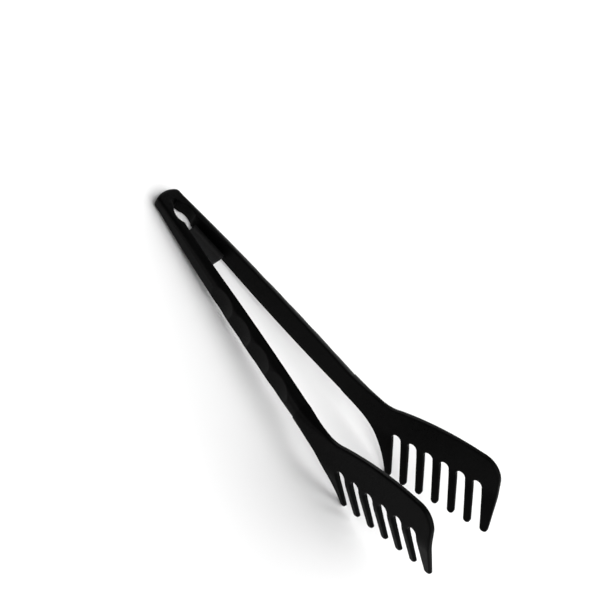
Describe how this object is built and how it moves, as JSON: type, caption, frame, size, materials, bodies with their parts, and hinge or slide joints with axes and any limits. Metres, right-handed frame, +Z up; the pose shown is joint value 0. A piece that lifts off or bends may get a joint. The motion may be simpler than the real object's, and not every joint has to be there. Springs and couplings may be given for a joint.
{
  "type": "spring loaded kitchen tongs",
  "caption": "Squeeze-to-close kitchen tongs: two moulded handles joined by a sprung bow, with finger scallops and wide toothed heads that meet tip to tip.",
  "frame": {"origin": "on the axis that both arms turn about, at the centre of the bow", "axes": "+X from the bow along the tongs to the toothed heads, +Y to the right arm, +Z up along the turning axis"},
  "size_m": [0.2838, 0.0656, 0.0726],
  "materials": {
    "bow_nylon": "satin black nylon with a fine moulded grain",
    "head_nylon": "satin black nylon with a fine moulded grain",
    "grip_nylon": "satin black nylon with a fine moulded grain",
    "spring_steel": "cold-rolled spring strip",
    "rivet_steel": "plain steel rivet"
  },
  "bodies": {
    "bow": {"bow_end": "bow_nylon", "spring_bend": "spring_steel"},
    "right_arm": {"right_comb_frame": "head_nylon", "right_grip_cover": "grip_nylon", "right_spring_leg": "spring_steel", "right_spring_rivets": "rivet_steel"},
    "left_arm": {"left_comb_frame": "head_nylon", "left_grip_cover": "grip_nylon", "left_spring_leg": "spring_steel", "left_spring_rivets": "rivet_steel"}
  },
  "joints": [
    {"name": "right_squeeze", "type": "hinge", "parent": "bow", "child": "right_arm", "pos_m": [0, 0, 0], "axis": [0, 0, -1], "range_deg": [0, 5.1], "stiffness_Nm_per_rad": 4.5},
    {"name": "left_squeeze", "type": "hinge", "parent": "bow", "child": "left_arm", "pos_m": [0, 0, 0], "axis": [0, 0, 1], "range_deg": [0, 5.1], "stiffness_Nm_per_rad": 4.5}
  ],
  "couplings": [
    {"joint": "left_squeeze", "follows": "right_squeeze", "ratio": 1}
  ]
}
